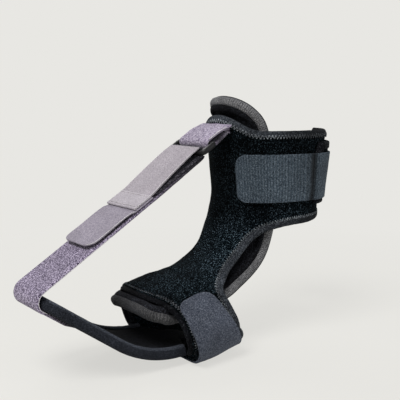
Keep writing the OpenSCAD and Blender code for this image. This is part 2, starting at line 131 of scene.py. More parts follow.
def along(table, s):
    """A smooth curve through a table's rows; s counts rows."""
    s = np.clip(np.asarray(s, float), 0, len(table) - 1)
    n = len(table) - 1
    i = np.minimum(np.floor(s).astype(int), n - 1)
    t = (s - i)[..., None]
    p0, p1 = table[np.maximum(i - 1, 0)], table[i]
    p2, p3 = table[i + 1], table[np.minimum(i + 2, n)]
    return 0.5 * (2 * p1 + (p2 - p0) * t + (2 * p0 - 5 * p1 + 4 * p2 - p3) * t * t
                  + (3 * p1 - p0 - 3 * p2 + p3) * t * t * t)


def drawn(table, count):
    """Even points along the smooth curve through a table's rows."""
    table = np.array(table, float)
    return along(table, np.linspace(0, len(table) - 1, count))


def skin(s, u, t):
    """Points at s, u and t of the leg and foot surface."""
    s, u, t = np.broadcast_arrays(np.asarray(s, float), u, t)
    q = along(STATIONS, s)
    a, tilt = np.radians(u), np.radians(q[..., 2])
    front = np.cos(a) >= 0
    e = 2 / np.where(front, DORSAL_SQUARE, q[..., 6])
    c = np.sign(np.cos(a)) * np.abs(np.cos(a)) ** e * (np.where(front, q[..., 3], q[..., 4]) + t)
    y = np.sign(np.sin(a)) * np.abs(np.sin(a)) ** e * (q[..., 5] + t)
    return stack(q[..., 0] + c * np.cos(tilt), y, q[..., 1] + c * np.sin(tilt))


def edge_s(s, u):
    """The top edge dips beside the shin, and the front edge runs back beside the toes."""
    return (s + 0.36 * smooth(np.abs(u) / 46) * np.clip((2.2 - s) / 1.2, 0, 1)
            - 0.37 * smooth(np.abs(u) / 62) * np.clip((s - 6.3) / 2.0, 0, 1))


# ---- meshes
def add_mesh(name, points, faces, uv):
    """A new object from points, faces and one uv of cloth per point."""
    mesh = bpy.data.meshes.new(name)
    mesh.from_pydata((np.asarray(points) * MM).tolist(), [], faces)
    mesh.update()
    layer = mesh.uv_layers.new(name="cloth")
    corner = np.zeros(len(mesh.loops), int)
    mesh.loops.foreach_get("vertex_index", corner)
    layer.data.foreach_set("uv", (uv * MM)[corner].astype(np.float32).ravel())
    mesh.polygons.foreach_set("use_smooth", np.ones(len(mesh.polygons), bool))
    obj = new_object(name, mesh)
    fix_normals(obj)
    return obj


def dress(obj, body, material, slot, *nodes):
    """Gives a piece its material and hides the CAD nodes it stands for. A piece with one body is
    attached to it; one given the two bodies it bends between only has its transform baked in.
    """
    obj.data.materials.clear()
    obj.data.materials.append(material)
    if isinstance(body, str):
        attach(obj, body)
    else:
        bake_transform(obj)
    if nodes:
        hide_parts(*nodes)


FINE_ENDS, FINE = np.array([0.0, 0.18, 0.45, 0.85, 1.4]), 2.1


def spaced(length, step):
    """Shares from 0 to 1 along a length, about a step apart and finer near both ends."""
    inner = np.linspace(FINE, length - FINE, max(2, int((length - 2 * FINE) / step)))
    return np.concatenate([FINE_ENDS, inner, (length - FINE_ENDS)[::-1]]) / length


def cloth_grid(name, outer, inner, uv):
    """A closed sheet from two grids of points with the same edges."""
    rows, cols = outer.shape[:2]
    n = rows * cols
    index = np.arange(n).reshape(rows, cols)
    a, b, c, d = index[:-1, :-1], index[:-1, 1:], index[1:, 1:], index[1:, :-1]
    top = stack(a, d, c, b).reshape(-1, 4)
    rim = np.concatenate([index[0, :-1], index[:-1, -1], index[-1, :0:-1], index[:0:-1, 0]])
    after = np.roll(rim, -1)
    side = stack(rim, after, after + n, rim + n)
    faces = np.concatenate([top, top[:, ::-1] + n, side])
    points = np.concatenate([outer.reshape(-1, 3), inner.reshape(-1, 3)])
    return add_mesh(name, points, faces.tolist(), np.concatenate([uv.reshape(-1, 2)] * 2))


def new_object(name, data):
    obj = bpy.data.objects.new(name, data)
    scene.collection.objects.link(obj)
    return obj


def fix_normals(obj):
    """Turns the faces outwards, by the sign of the mesh's volume."""
    mesh = obj.data
    co = np.zeros(len(mesh.vertices) * 3)
    mesh.vertices.foreach_get("co", co)
    mesh.calc_loop_triangles()
    tri = np.zeros(len(mesh.loop_triangles) * 3, int)
    mesh.loop_triangles.foreach_get("vertices", tri)
    t = co.reshape(-1, 3)[tri.reshape(-1, 3)]
    if np.einsum("ij,ij->", t[:, 0], np.cross(t[:, 1], t[:, 2])) < 0:
        mesh.flip_normals()


def walk(points, axis):
    """Distance walked along one axis of a grid of points."""
    step = np.linalg.norm(np.diff(points, axis=axis), axis=-1)
    return np.concatenate([np.zeros_like(np.take(step, [0], axis)), np.cumsum(step, axis)], axis)


def rounded(points, radius, sides=(True,) * 4, least=0.12):
    """Share of the thickness at each grid point. It rounds off towards the edges that sides
    names: first row, last row, first column, last column."""
    down, across = walk(points, 0), walk(points, 1)
    gaps = [down, down[-1:] - down, across, across[:, -1:] - across]
    d = np.minimum.reduce([gap for gap, on in zip(gaps, sides) if on])
    x = np.clip(d / radius, 0, 1)
    return np.maximum(np.sqrt(1 - (1 - x) ** 2), least)


def grain(shape, amount):
    """Random relief over a grid, softened over 3 by 3 points."""
    field = rng.standard_normal((shape[0] + 2, shape[1] + 2))
    total = sum(field[i:i + shape[0], j:j + shape[1]] for i in range(3) for j in range(3))
    return amount * total / 3


def grained(amount):
    return lambda s, u, p: grain(s.shape, amount)


def resample(rows, step, smoothing=True):
    """Rows of [s, first u, last u] spaced evenly over the surface."""
    dense = drawn(rows, 24 * len(rows)) if smoothing else np.array(rows, float)
    jump = np.diff(dense, axis=0) * [34, 0.7, 0.7]
    reach = np.concatenate([[0], np.cumsum(np.abs(jump).max(1))])
    at = reach[-1] * spaced(reach[-1], step)
    return sample(at, reach, dense)


def panel(name, rows, width, mid, thick, step=2.0, follow=True, sides=(True,) * 4,
          relief=None, inner_relief=None, smoothing=True):
    """A fabric sheet over rows of [s, first u, last u]. mid(s, u) is its middle's t, and a
    relief(s, u, points) is added to one face. A sheet that follows keeps to the dipping edges."""
    table = resample(rows, step, smoothing)
    w = spaced(width, step)
    s = table[:, :1] + 0 * w
    u = table[:, 1:2] + (table[:, 2:3] - table[:, 1:2]) * w
    if follow:
        s = edge_s(s, u)
    t, half = mid(s, u) + 0 * s, thick / 2
    middle = skin(s, u, t)
    share = rounded(middle, half * 1.1, sides)
    up, down = share * half, share * half
    if relief:
        up = up + share * relief(s, u, middle)
    if inner_relief:
        down = down + share * inner_relief(s, u, middle)
    uv = stack(np.radians(u) * CLOTH_R, walk(middle, 0))
    return cloth_grid(name, skin(s, u, t + up), skin(s, u, t - down), uv)


def path_frames(path, side, step):
    """Even points along a path of [s, u, t], unit vectors beside it and outwards, and distances."""
    dense = drawn(path, 30 * len(path))
    reach = reached(skin(*dense.T))
    at = np.linspace(0, reach[-1], max(3, int(reach[-1] / step)))
    q = sample(at, reach, dense)
    p = skin(*q.T)
    d = unit(np.gradient(p, axis=0))
    n = unit(skin(q[:, 0], q[:, 1], q[:, 2] + 1) - p)
    n = unit(n - d * np.sum(n * d, -1, keepdims=True))
    return p, side * unit(np.cross(d, n)), n, at


def sweep(name, p, m, n, at, section, closed=False, relief=0.03):
    """A solid strip: a closed section of [beside, outwards] points carried along a path. section
    may be one list or a function of the share of the way along."""
    count = len(p)
    sec = np.array([section(k / (count - 1)) if callable(section) else section
                    for k in range(count)])
    sides = sec.shape[1]
    rings = p[:, None] + m[:, None] * sec[..., :1] + n[:, None] * sec[..., 1:]
    if relief:
        rings = rings + (n[:, None] + m[:, None]) * grain((count, sides), relief)[..., None]
    index = np.arange(count * sides).reshape(count, sides)
    ahead = np.roll(index, -1, axis=1)
    faces = stack(index[:-1], index[1:], ahead[1:], ahead[:-1]).reshape(-1, 4).tolist()
    if closed:
        faces += stack(index[-1], index[0], ahead[0], ahead[-1]).tolist()
    else:
        faces += [index[0].tolist(), index[-1, ::-1].tolist()]
    uv = stack(np.repeat(at, sides), np.tile(reached(sec[0]), count))
    return add_mesh(name, rings.reshape(-1, 3), faces, uv)


def oval(half_w, half_h, count=14, middle=(0, 0), power=2.6):
    """A rounded box section round a middle."""
    a = np.arange(count) * 2 * math.pi / count
    e = 2 / power
    c, s = np.cos(a), np.sin(a)
    return stack(middle[0] + half_w * np.sign(c) * np.abs(c) ** e,
                 middle[1] + half_h * np.sign(s) * np.abs(s) ** e)


def thread(name, points, out, radius):
    """A sewing thread through points, lying on the cloth whose outward direction is out."""
    d = unit(np.gradient(points, axis=0))
    b = unit(np.cross(d, out))
    n = np.cross(b, d)
    section = oval(radius, radius * 0.8, 5, power=2)
    return sweep(name, points, b, n, reached(points), section, relief=0)


def zigzag(name, frames, inner, outer, height, pitch, radius):
    """Zigzag stitches between two distances beside a path."""
    p, m, n, at = frames
    count = int(at[-1] / pitch * 2)
    x = np.linspace(0, at[-1], count * 4 + 1)
    turn = np.abs(((x / (pitch / 2)) % 2) - 1)
    lift = height + 0.28 * np.sin(turn * math.pi)
    wander = inner + (outer - inner) * turn + 0.12 * rng.standard_normal(len(x)).cumsum() / 40
    out = sample(x, at, n)
    points = sample(x, at, p) + sample(x, at, m) * wander[:, None] + out * lift[:, None]
    return thread(name, points, unit(out), radius)


# ---- materials
def shader(name):
    mat = bpy.data.materials.new(name)
    mat.use_nodes = True
    mat.node_tree.nodes.clear()
    return mat, mat.node_tree


def add_node(tree, kind, inputs=None, **settings):
    """A shader node; an input is a value or another node's socket."""
    node = tree.nodes.new("ShaderNode" + kind)
    for key, value in settings.items():
        setattr(node, key, value)
    for key, value in (inputs or {}).items():
        if isinstance(value, bpy.types.NodeSocket):
            tree.links.new(value, node.inputs[key])
        else:
            node.inputs[key].default_value = value
    return node


def ramp(tree, factor, stops):
    node = add_node(tree, "ValToRGB", {"Fac": factor})
    elements = node.color_ramp.elements
    while len(elements) < len(stops):
        elements.new(0.5)
    for element, (place, colour) in zip(elements, stops):
        element.position = place
        element.color = (*colour, 1)
    return node.outputs["Color"]


def maths(tree, operation, a, b=0.5):
    return add_node(tree, "Math", {0: a, 1: b}, operation=operation).outputs[0]


def noise(tree, where, scale, detail, roughness=0.5):
    return add_node(tree, "TexNoise", {"Vector": where, "Scale": scale, "Detail": detail,
                                       "Roughness": roughness}).outputs["Fac"]


def remap(tree, value, old, new, kind="LINEAR"):
    """Carries a value from one range to another."""
    ends = {"From Min": old[0], "From Max": old[1], "To Min": new[0], "To Max": new[1]}
    node = add_node(tree, "MapRange", {"Value": value, **ends}, interpolation_type=kind)
    return node.outputs[0]


def cloth(name, tones, grain_mm=0.9, spread=(0.36, 0.5, 0.68), rough=0.9, sheen=0.25, bump=0.5,
          ribs=None, patch=0.25, tint=(0.5, 0.55, 0.65), pile=True, gloss=0.15, shade=()):
    """Fabric whose fibres scatter between dark, base and light tones. ribs is (0 across the
    cloth's length or 1 along it, spacing, depth). shade lists bands of painted shade as (0 along
    the cloth, 1 along X or 2 along Z, middle, reach, depth); below zero a depth paints light."""
    mat, tree = shader(name)
    coordinates = add_node(tree, "TexCoord").outputs
    where = coordinates["Object"]
    fibres = noise(tree, where, 1000 / grain_mm, 3, 0.65)
    colour = ramp(tree, fibres, list(zip(spread, tones)))
    tone_variation_and_painted_shade = remap(tree, noise(tree, where, 55, 4), (0.3, 0.7), (1 - patch, 1 + patch))
    height = fibres
    if pile:
        tufts = add_node(tree, "TexVoronoi", {"Vector": where, "Scale": 620 / grain_mm})
        height = maths(tree, "ADD", fibres,
                       maths(tree, "MULTIPLY", tufts.outputs["Distance"], 0.6))
    split = add_node(tree, "SeparateXYZ", {0: coordinates["UV"]}).outputs
    place = add_node(tree, "SeparateXYZ", {0: where}).outputs
    # Each shade band multiplies painted shade into the tone, or painted light where its depth is
    # below zero.
    for direction, middle, far, deep in shade:
        line = (split[0], place[0], place[2])[direction]
        off = maths(tree, "ABSOLUTE", maths(tree, "SUBTRACT", line, middle * MM))
        tone_variation_and_painted_shade = maths(tree, "MULTIPLY", tone_variation_and_painted_shade,
                     remap(tree, off, (0, far * MM), (1 - deep, 1), "SMOOTHSTEP"))
    if ribs:
        direction, spacing, deep = ribs
        turn = maths(tree, "MULTIPLY", split[direction], 2 * math.pi * 1000 / spacing)
        wave = maths(tree, "SINE", turn)
        tone_variation_and_painted_shade = maths(tree, "MULTIPLY", tone_variation_and_painted_shade, remap(tree, wave, (-1, 1), (1 - deep, 1 + deep / 2)))
        height = maths(tree, "ADD", height, maths(tree, "MULTIPLY", wave, deep))
    tone = add_node(tree, "VectorMath", {0: colour, 1: tone_variation_and_painted_shade}, operation="MULTIPLY")
    relief = add_node(tree, "Bump", {"Height": height, "Strength": bump, "Distance": 0.0006})
    surface = add_node(tree, "BsdfPrincipled", {
        "Base Color": tone.outputs[0], "Roughness": rough, "Normal": relief.outputs[0],
        "Sheen Weight": sheen, "Sheen Roughness": 0.5, "Sheen Tint": (*tint, 1),
        "Specular IOR Level": gloss})
    add_node(tree, "OutputMaterial", {"Surface": surface.outputs[0]})
    return mat


def moulded(name, colour, rough, metallic=0.0, gloss=0.5):
    """Plastic or metal with fine grain, faint scratches and a varied finish."""
    mat, tree = shader(name)
    where = add_node(tree, "TexCoord").outputs["Object"]
    fine = noise(tree, where, 2000, 2)
    marks = noise(tree, where, 90, 6, 0.7)
    dull = remap(tree, marks, (0.3, 0.7), (rough - 0.1, rough + 0.12))
    tone = ramp(tree, marks, [(0.3, [c * 0.8 for c in colour]), (0.7, [c * 1.2 for c in colour])])
    relief = add_node(tree, "Bump", {"Height": fine, "Strength": 0.15, "Distance": 0.0002})
    surface = add_node(tree, "BsdfPrincipled", {
        "Base Color": tone, "Roughness": dull, "Normal": relief.outputs[0],
        "Specular IOR Level": gloss, "Metallic": metallic})
    add_node(tree, "OutputMaterial", {"Surface": surface.outputs[0]})
    return mat


# The band round Z = 0 is painted light, where the lamps fall on the instep and ankle.
BLACK_LOOP = cloth(
    "black_brushed_loop", [(0.0002, 0.0005, 0.0007), (0.0008, 0.0022, 0.0032), (0.085, 0.12, 0.15)],
    0.85, (0.455, 0.56, 0.8), bump=0.9, patch=0.5, sheen=0.005, gloss=0.02,
    shade=[(2, 0, 38, -2.3)])
# The band round X = -35 is painted shade, darker towards the back of the leg.
TAPE = cloth(
    "charcoal_edge_tape", [(0.006, 0.007, 0.009), (0.022, 0.026, 0.032), (0.11, 0.12, 0.14)],
    0.9, (0.36, 0.5, 0.74), ribs=(0, 0.9, 0.15), patch=0.35, sheen=0.04, gloss=0.08,
    shade=[(1, -35, 75, 0.92)])
BLACK_TAPE = cloth(
    "black_edge_tape", [(0.001, 0.001, 0.002), (0.004, 0.0045, 0.006), (0.06, 0.065, 0.075)],
    0.9, (0.42, 0.56, 0.78), patch=0.3, sheen=0.02, gloss=0.06)
PLATE_TAPE = dict(grain_mm=0.7, spread=(0.36, 0.52, 0.8), ribs=(0, 1.1, 0.12), patch=0.2,
                  sheen=0.05, bump=0.35, gloss=0.1)
RIM_TAPE = cloth(
    "plate_edge_tape", [(0.004, 0.005, 0.007), (0.013, 0.015, 0.021), (0.05, 0.055, 0.07)],
    **PLATE_TAPE)
# A lighter copy of the plate tape: a painted highlight along the top of the plate's rim.
HIGHLIGHT_TAPE = cloth(
    "plate_lip_painted_highlight", [(0.015, 0.017, 0.023), (0.045, 0.051, 0.066), (0.12, 0.135, 0.165)],
    **PLATE_TAPE)
LINING = cloth(
    "black_lining", [(0.002, 0.002, 0.003), (0.007, 0.007, 0.009), (0.03, 0.03, 0.034)],
    0.7, ribs=(0, 1.2, 0.2), sheen=0.03, pile=False, gloss=0.08)
LINER_CLOTH = dict(tones=[(0.001, 0.001, 0.001), (0.003, 0.003, 0.004), (0.02, 0.022, 0.028)],
                   grain_mm=0.8, sheen=0.01, bump=0.6, patch=0.35, gloss=0.06)
LINER = cloth("black_liner_knit", **LINER_CLOTH)
# The border is lighter round X = 128: painted light, a highlight on the liner's front lip.
LINER_BORDER = cloth("liner_border_cloth", **LINER_CLOTH, shade=[(1, 128, 62, -1.6)])
# The band round X = 128 is painted shade, darker where the edge band passes the liner's front.
KNIT = cloth(
    "grey_knit_edge", [(0.035, 0.036, 0.041), (0.125, 0.125, 0.132), (0.27, 0.27, 0.28)],
    0.7, ribs=(0, 1.3, 0.34), rough=0.95, sheen=0.1, bump=0.7, shade=[(1, 128, 75, 0.62)])
TERRY = cloth(
    "grey_terry", [(0.03, 0.03, 0.035), (0.11, 0.11, 0.12), (0.27, 0.27, 0.28)],
    1.3, bump=1.0, sheen=0.2)
CREASE = math.radians(CREASE_U) * CLOTH_R
# The band at CREASE is painted shade: a dark line in the crease where the strap steps down to its
# tab.
WEBBING = cloth(
    "charcoal_strap", [(0.012, 0.019, 0.028), (0.041, 0.057, 0.075), (0.125, 0.155, 0.185)],
    0.9, (0.34, 0.5, 0.7), ribs=(0, 2.1, 0.3), patch=0.2, sheen=0.12, bump=0.8,
    shade=[(0, CREASE - 0.5, 5.5, 0.97)])
FOOT_WEBBING = cloth(
    "charcoal_foot_strap", [(0.018, 0.022, 0.034), (0.05, 0.058, 0.08), (0.14, 0.155, 0.19)],
    0.9, (0.34, 0.5, 0.7), patch=0.18, sheen=0.12, bump=0.8)
LOOP_CLOTH = dict(tones=[(0.05, 0.035, 0.075), (0.26, 0.22, 0.31), (0.56, 0.52, 0.62)],
                  grain_mm=1.15, spread=(0.36, 0.49, 0.66), patch=0.12, sheen=0.3, bump=0.9,
                  tint=(0.9, 0.85, 1.0))
LAVENDER = cloth("lavender_loop_strap", **LOOP_CLOTH)
PALE_CLOTH = dict(grain_mm=0.9, spread=(0.3, 0.5, 0.7), bump=0.4, tint=(0.95, 0.9, 1.0))
PALE = cloth(
    "pale_strap", [(0.18, 0.165, 0.19), (0.315, 0.288, 0.325), (0.45, 0.42, 0.46)],
    ribs=(1, 1.1, 0.08), patch=0.1, sheen=0.2, **PALE_CLOTH)
PALE_BAND = cloth(
    "pale_sewn_band", [(0.26, 0.24, 0.275), (0.37, 0.345, 0.385), (0.47, 0.445, 0.485)],
    ribs=(0, 1.0, 0.08), patch=0.08, sheen=0.2, **PALE_CLOTH)
TAB = cloth(
    "lavender_hook_tab", [(0.13, 0.115, 0.155), (0.245, 0.222, 0.275), (0.35, 0.325, 0.375)],
    ribs=(1, 1.1, 0.07), patch=0.12, sheen=0.15, **PALE_CLOTH)
EDGE_LIGHT = cloth(
    "pale_strap_edge", [(0.36, 0.34, 0.37), (0.5, 0.48, 0.51), (0.62, 0.6, 0.63)],
    0.6, patch=0.1, bump=0.2, sheen=0.2)
# A near-black copy of the loop strap for its fold round the ring's bar: painted shade between the
# run and the return layer.
SHADED_LOOP = cloth(
    "loop_strap_painted_shade", [(0.006, 0.005, 0.008), (0.025, 0.022, 0.03), (0.2, 0.19, 0.22)],
    1.2, (0.42, 0.53, 0.72), patch=0.3, bump=0.9)
HOOKS = cloth(
    "dark_hook_tape", [(0.006, 0.006, 0.008), (0.02, 0.02, 0.024), (0.09, 0.09, 0.1)],
    0.7, rough=0.6, sheen=0.0, bump=0.8)
YARN = dict(grain_mm=0.9, spread=(0.4, 0.5, 0.62), bump=0.2, patch=0.7)
THREAD = cloth(
    "grey_thread", [(0.022, 0.025, 0.03), (0.105, 0.118, 0.132), (0.27, 0.295, 0.32)], **YARN)
# Painted shade darkens these stitches towards the back of the leg, round X = -45.
SHIN_THREAD = cloth(
    "shin_edge_thread", [(0.022, 0.025, 0.03), (0.12, 0.133, 0.148), (0.33, 0.36, 0.39)],
    **YARN, shade=[(1, -45, 88, 0.9)])
DIM_THREAD = cloth(
    "dim_thread", [(0.015, 0.018, 0.021), (0.09, 0.1, 0.112), (0.26, 0.28, 0.31)], **YARN)
PALE_THREAD = cloth(
    "pale_thread", [(0.3, 0.27, 0.3), (0.46, 0.43, 0.46), (0.6, 0.57, 0.6)], 0.5, bump=0.2)
RING_BLACK = moulded("black_ring_plastic", (0.008, 0.008, 0.009), 0.42, gloss=0.22)
SHELL_BLACK = moulded("black_shell_plastic", (0.02, 0.02, 0.023), 0.5)
BOARD = moulded("board_aluminium", (0.6, 0.61, 0.63), 0.38, metallic=0.9)


# ---- swelling by cloth simulation
PUFF_PRESSURE, PUFF_FRAMES, PUFF_QUALITY = 4, 20, 5


def puff(obj, cap):
    """Swells a closed pad with a pressurised cloth, and keeps each point within cap of its place.
    The pads are thinner than a voxel, so they keep their own even mesh."""
    bpy.context.view_layer.objects.active = obj
    count = len(obj.data.vertices)
    before = np.zeros(count * 3)
    obj.data.vertices.foreach_get("co", before)
    sim = obj.modifiers.new("sim", "CLOTH")
    sim.settings.use_pressure = True
    sim.settings.uniform_pressure_force = PUFF_PRESSURE
    sim.settings.effector_weights.gravity = 0
    sim.settings.quality = PUFF_QUALITY
    for number in range(1, PUFF_FRAMES + 1):
        scene.frame_set(number)
    bpy.ops.object.modifier_apply(modifier="sim")
    after = np.zeros(count * 3)
    obj.data.vertices.foreach_get("co", after)
    move = (after - before).reshape(-1, 3)
    length = np.linalg.norm(move, axis=1, keepdims=True)
    move = move * np.minimum(1, cap * MM / np.maximum(length, 1e-9))
    obj.data.vertices.foreach_set("co", (before.reshape(-1, 3) + move).ravel())
    scene.frame_set(1)
    obj.data.update()


# ---- wrap outline
WING_U, MEDIAL_U, SOLE_LAP, FOOT_U = -112, 168, -260, 124
TOP_S, FRONT_S = 0.92, 8.28
# [s, lateral edge's u, medial edge's u]
BAND = [[s, WING_U, MEDIAL_U] for s in (TOP_S, 1.25, 1.6, 2.0, 2.4, 2.8, 3.12)]
OPENING = [[3.18, -111, 156], [3.21, -108, 134], [3.24, -104, 110], [3.27, -95, 92],
           [3.31, -79, 77], [3.37, -64, 64], [3.45, -53, 53], [3.56, -45, 45], [3.74, -37.5, 37.5],
           [4.04, -32.5, 32.5], [4.4, -31.5, 31.5], [4.8, -34, 34], [5.15, -39, 39],
           [5.45, -46, 45], [5.65, -56, 52], [5.76, -70, 59], [5.83, -87, 66], [5.87, -105, 74],
           [5.90, -125, 82], [5.92, -147, 90], [5.94, -170, 98], [5.96, -194, 106],
           [5.98, -218, 113], [6.0, -240, 119], [6.06, -254, 124]]
FOOT_BAND = [[s, SOLE_LAP, FOOT_U] for s in (6.25, 6.65, 7.05, 7.45, 7.85, FRONT_S)]
OUTLINE = np.array(BAND + OPENING + FOOT_BAND)


def lap(u):
    """The foot band climbs on to the outside where it laps over the medial wing."""
    return OVER * smooth((-196 - u) / 30)


def pocket(u):
    """The lining drops away in front, where the shell lies in its pocket."""
    return POCKET * smooth((66 - np.abs(u)) / 16)


def outer_cover():
    swell = lambda s, u, p: (0.5 * smooth((s - 7.75) / 0.25) * smooth((8.3 - s) / 0.2)
                             * smooth((56 - np.abs(u)) / 20) + grain(s.shape, 0.05))
    obj = panel("outer_cover_cloth", OUTLINE, 300, lambda s, u: lap(u) - COVER_T / 2, COVER_T, 1.9,
                relief=swell)
    dress(obj, "wrap", BLACK_LOOP, "cover", "outer_cover")


def inner_lining():
    inset, foot_s, foot_u = 2.5, 5.7, 100
    rows = [[s, max(a + inset, -foot_u if s > foot_s else -186),
             min(b - inset, foot_u if s > foot_s else 180)] for s, a, b in OUTLINE]
    obj = panel("inner_lining_cloth", rows, 260,
                lambda s, u: LINING_OUT - pocket(u) - LINING_T / 2, LINING_T, 3.0)
    dress(obj, "wrap", LINING, "lining", "inner_lining")


# ---- liner pad
LINER_HALF = np.array([
    [0.54, 0], [0.57, 11], [0.68, 23], [0.86, 33], [1.1, 41], [1.6, 47], [2.2, 50], [2.8, 53],
    [3.4, 56], [3.9, 56], [4.4, 53], [4.9, 51], [5.4, 52], [6.0, 54], [6.7, 54], [7.3, 53],
    [7.75, 51], [8.1, 46], [8.38, 37], [8.52, 24], [8.57, 0]])
TERRY_T = 3.5
FRONT_SHARE = 0.22          # where the edge band passes the liner's front, along its length


def liner_face(s, u):
    """The liner flares out above the shin band and in front of the instep."""
    ahead = s - edge_s(FRONT_S, u)
    return LINER_OUT + 6.5 * smooth((0.95 - s) / 0.6) + 5.6 * smooth((ahead - 0.04) / 0.28)


def liner():
    """Foam pad, terry face, knit edge band, the border above it and its seam's cord."""
    rows = [[s, -u, u] for s, u in LINER_HALF[1:-1]]
    pad_t = LINER_T - TERRY_T
    pad = panel("liner_pad_cloth", rows, 100, lambda s, u: liner_face(s, u) - pad_t / 2,
                pad_t - 0.4, 3.0, follow=False)
    puff(pad, 0.8)
    dress(pad, "wrap", LINER, "liner", "liner_pad")
    terry = panel("liner_terry_cloth", rows, 100,
                  lambda s, u: liner_face(s, u) - LINER_T + TERRY_T / 2, TERRY_T - 0.3, 2.4,
                  follow=False, inner_relief=grained(0.22))
    dress(terry, "wrap", TERRY, "terry", "liner_lining")
    half = drawn(LINER_HALF, 2 * len(LINER_HALF) - 1)
    n = len(half)
    ring = np.concatenate([half, (half * [1, -1])[-2:0:-1]])
    path = [[s, u, liner_face(s, u) - LINER_T / 2]
            for s, u in np.concatenate([ring[n // 2:], ring[:n // 2 + 1]])]
    frames = path_frames(path, -1, 1.3)
    rim = sweep("liner_edge_band", *frames, oval(3.4, LINER_T / 2 + 0.4, 18, (3.3, 0)))
    dress(rim, "wrap", KNIT, "knit_edge", "liner_edge")
    front = lambda share: smooth((0.13 - abs(share - FRONT_SHARE)) / 0.05)
    lip = lambda f: oval(2.2 + 0.7 * f, 1.9 - 0.4 * f, 14, (-1.2 + 0.6 * f, 2.4 + 0.5 * f))
    border = sweep("liner_border", *frames, lambda share: lip(front(share)))
    dress(border, "wrap", LINER_BORDER, "liner")
    cord = sweep("liner_seam_cord", *frames,
                 lambda share: oval(0.7, 0.7, 8, (6.5 - 3 * front(share), -0.6), 2), relief=0)
    dress(cord, "wrap", LINER, "liner")


# ---- edge tapes
FRONT_T = -2.6              # the front tape lies lower than the cover's swollen edge


def folded(over, reach, half_h):
    """Section of a tape folded round an edge: it lies over on the outer face, stands reach beyond
    the edge and comes back under it."""
    under = 3.0
    return ([[-over, half_h - 0.9], [-over - 0.1, half_h - 0.35], [-over + 0.5, half_h],
             [-over / 2, half_h + 0.1], [0, half_h + 0.15]]
            + [[reach * math.sin(a) ** 0.8, (half_h + 0.15) * math.cos(a)]
               for a in np.linspace(0.3, math.pi - 0.3, 9)]
            + [[0, -half_h - 0.1], [-under, -half_h], [-under - 0.2, -half_h + 0.7]])


def tape(name, path, side, node, material=TAPE, over=0.7, reach=4.3, half_h=COVER_T / 2 + 0.6,
         yarn=THREAD, stitch=(-2.0, 1.2, 0.0, 2.0, 0.2)):
    """An edge tape and its stitches, which are (inner, outer, rise, pitch, thread radius)."""
    frames = path_frames(path, side, 1.0)
    obj = sweep(name, *frames, folded(over, reach, half_h), relief=0.035)
    dress(obj, "wrap", material, "tape", node)
    inner, outer, rise, pitch, radius = stitch
    seam = zigzag(name + "_stitches", frames, inner - over, outer - over,
                  0.25 - path[0][2] + rise, pitch, radius)
    dress(seam, "wrap", yarn, "tape")


def edge_tapes():
    """The tapes on the wrap's four open edges."""
    mid_t = -COVER_T / 2
    top = [[edge_s(TOP_S, u), u, mid_t] for u in np.linspace(WING_U, MEDIAL_U, 33)]
    tape("top_edge_tape", top, -1, "top_binding", TAPE, 0.4, 3.9, yarn=SHIN_THREAD,
         stitch=(-1.8, 1.6, 0.5, 2.4, 0.24))
    medial = [[edge_s(s, b), b, mid_t] for s, a, b in OUTLINE[6:31]]
    tape("heel_edge_tape_medial", medial, -1, "heel_binding_medial")
    lateral = [[edge_s(s, a), a, mid_t + lap(a)] for s, a, b in OUTLINE[6:32]]
    tape("heel_edge_tape_lateral", lateral, 1, "heel_binding_lateral")
    front = [[edge_s(FRONT_S, u), u, FRONT_T] for u in np.linspace(FOOT_U - 300, FOOT_U, 26)]
    tape("instep_edge_tape", front, 1, "instep_binding", BLACK_TAPE, 1.6, 2.9, 1.6, DIM_THREAD)


# ---- calf wing and its strap
WING_END, WING_TOP, WING_FOOT = -257, 1.15, 3.0
STRAP_S, TAB_U, CALF_STRAP_END = (1.65, 2.93), 19.5 - 360, -122
TAB_LIFT, PATCH_T = 1.2, 0.8


def wing_lift(u):
    return OVER * smooth((-146 - u) / 34)


def step_down(u, length):
    """A strap steps down from the lapped cloth to its free tab past the crease."""
    return TAB_LIFT + (OVER + SLACK - TAB_LIFT) * smooth((u - CREASE_U + length) / length)


def calf_wing():
    """The wing that laps over the calf, its lining and its three tapes."""
    v = np.linspace(0, 1, 12)
    rows = stack(WING_TOP + (WING_FOOT - WING_TOP) * v, WING_END + 5 * (2 * v - 1) ** 4,
                 WING_U + 0 * v)
    bend = ("wrap", "calf_wing", skin(2.1, WING_U, 0), skin(2.1, WING_U - 9, 0))
    wing = panel("calf_wing_cloth", rows, 120, lambda s, u: wing_lift(u) - COVER_T / 2, COVER_T,
                 sides=(True, True, True, False), relief=grained(0.05))
    dress(wing, bend, BLACK_LOOP, "cover", "calf_wing")
    inside = rows.copy()
    inside[:, 1] = -178
    inside[:, 2] -= 4
    lining = panel("calf_wing_lining_cloth", inside, 60,
                   lambda s, u: wing_lift(u) - COVER_T - WIDE_SLACK - LINING_T / 2, LINING_T, 3.0)
    dress(lining, "calf_wing", LINING, "lining", "calf_wing_lining")
    end = [[edge_s(s, a), a, OVER - COVER_T / 2] for s, a, b in rows]
    binding = sweep("calf_wing_end_tape", *path_frames(end, 1, 1.0),
                    folded(3.4, 3.6, COVER_T / 2 + 0.35))
    dress(binding, "calf_wing", BLACK_TAPE, "tape", "calf_wing_binding")
    for label, s, side in (("top", WING_TOP, 1), ("foot", WING_FOOT, -1)):
        line = [[edge_s(s, u), u, wing_lift(u) - COVER_T / 2]
                for u in np.linspace(WING_U - 4, WING_END + 6, 24)]
        edging = sweep(f"calf_wing_{label}_tape", *path_frames(line, side, 1.2),
                       folded(4.0, 1.5, COVER_T / 2 + 0.5))
        dress(edging, "calf_wing", TAPE, "tape")


